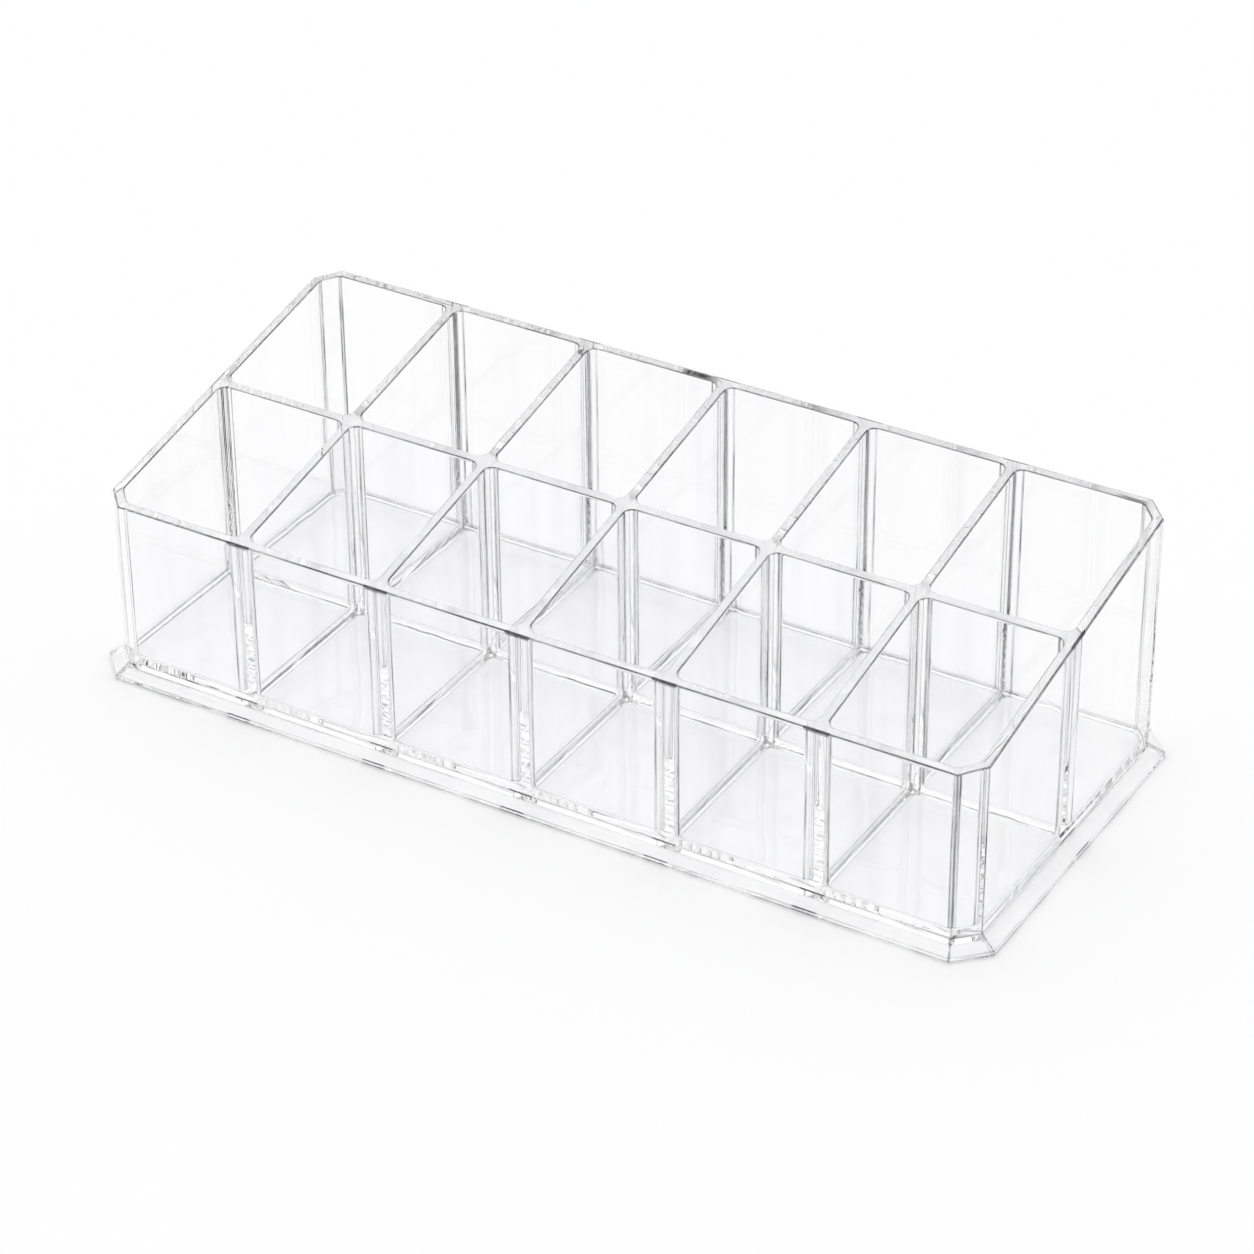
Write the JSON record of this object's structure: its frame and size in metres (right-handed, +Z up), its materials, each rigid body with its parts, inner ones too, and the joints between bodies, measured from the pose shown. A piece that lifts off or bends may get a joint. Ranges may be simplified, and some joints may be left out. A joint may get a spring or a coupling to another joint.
{
  "type": "vanity organizer",
  "caption": "Clear plastic vanity organizer: an open tray with upright dividers, a rim that slopes up to the rear, clipped corners and a bevelled plinth.",
  "frame": {"origin": "middle of the underside, on the surface that it stands on", "axes": "+X along the length to the right, +Y from the low front to the high rear, +Z up"},
  "size_m": [0.2376, 0.103, 0.0651],
  "materials": {
    "clear_plastic": "polished"
  },
  "bodies": {
    "root": {"base_tray": "clear_plastic", "front_wall": "clear_plastic", "front_right_corner": "clear_plastic", "right_wall": "clear_plastic", "rear_right_corner": "clear_plastic", "rear_wall": "clear_plastic", "rear_left_corner": "clear_plastic", "left_wall": "clear_plastic", "front_left_corner": "clear_plastic", "long_divider": "clear_plastic", "front_divider_1": "clear_plastic", "front_divider_2": "clear_plastic", "front_divider_3": "clear_plastic", "front_divider_4": "clear_plastic", "front_divider_5": "clear_plastic", "rear_divider_1": "clear_plastic", "rear_divider_2": "clear_plastic", "rear_divider_3": "clear_plastic", "rear_divider_4": "clear_plastic", "rear_divider_5": "clear_plastic"}
  },
  "joints": []
}
